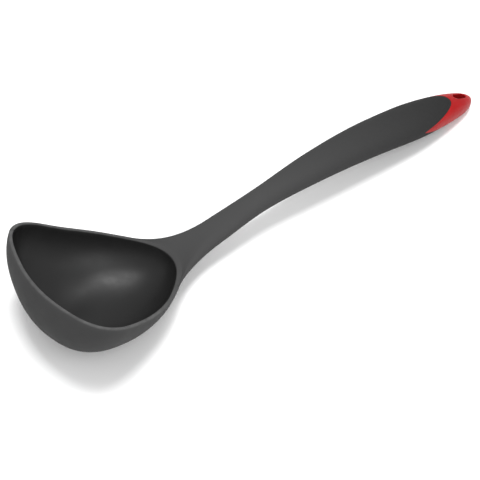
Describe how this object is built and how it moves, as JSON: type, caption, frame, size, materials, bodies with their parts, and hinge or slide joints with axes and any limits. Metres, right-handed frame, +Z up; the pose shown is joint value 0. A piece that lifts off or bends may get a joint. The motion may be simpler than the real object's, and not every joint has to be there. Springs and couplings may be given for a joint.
{
  "type": "soup ladle",
  "caption": "Dark moulded soup ladle with a deep bowl, two pouring corners, an arched grip and a red end with a hanging hole.",
  "frame": {"origin": "on the table plane, under the middle of the ladle's box, as it lies at rest", "axes": "+X from the bowl to the handle's end, +Z up, mirror plane Y = 0"},
  "size_m": [0.345, 0.0962, 0.056],
  "materials": {
    "dark_nylon": "fine matte moulded",
    "red_plastic": "satin moulded"
  },
  "bodies": {
    "root": {"ladle_body": "dark_nylon", "hanging_end": "red_plastic"}
  },
  "joints": []
}
